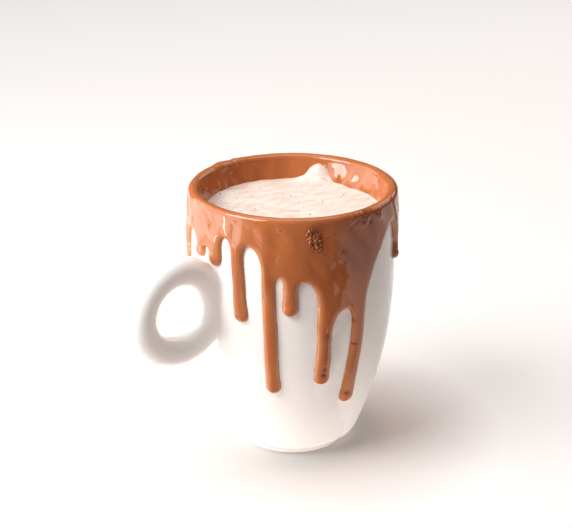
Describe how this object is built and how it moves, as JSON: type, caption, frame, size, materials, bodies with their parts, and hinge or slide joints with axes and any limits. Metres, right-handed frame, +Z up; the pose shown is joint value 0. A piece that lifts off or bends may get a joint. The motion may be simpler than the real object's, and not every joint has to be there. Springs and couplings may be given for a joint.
{
  "type": "hot chocolate",
  "caption": "Frothy hot chocolate in a bellied white porcelain mug with a ring handle, its rim dipped in milk chocolate that ran down the outside in drips.",
  "frame": {"origin": "middle of the mug's foot ring, on the table", "axes": "+Z up along the mug's axis; the ring handle points along -X; +Y completes the right-handed frame"},
  "size_m": [0.1188, 0.0836, 0.1063],
  "materials": {
    "porcelain": "gloss",
    "chocolate": "gloss",
    "froth": "satin"
  },
  "bodies": {
    "root": {"mug": "porcelain", "chocolate_coat": "chocolate", "drink": "froth"}
  },
  "joints": []
}
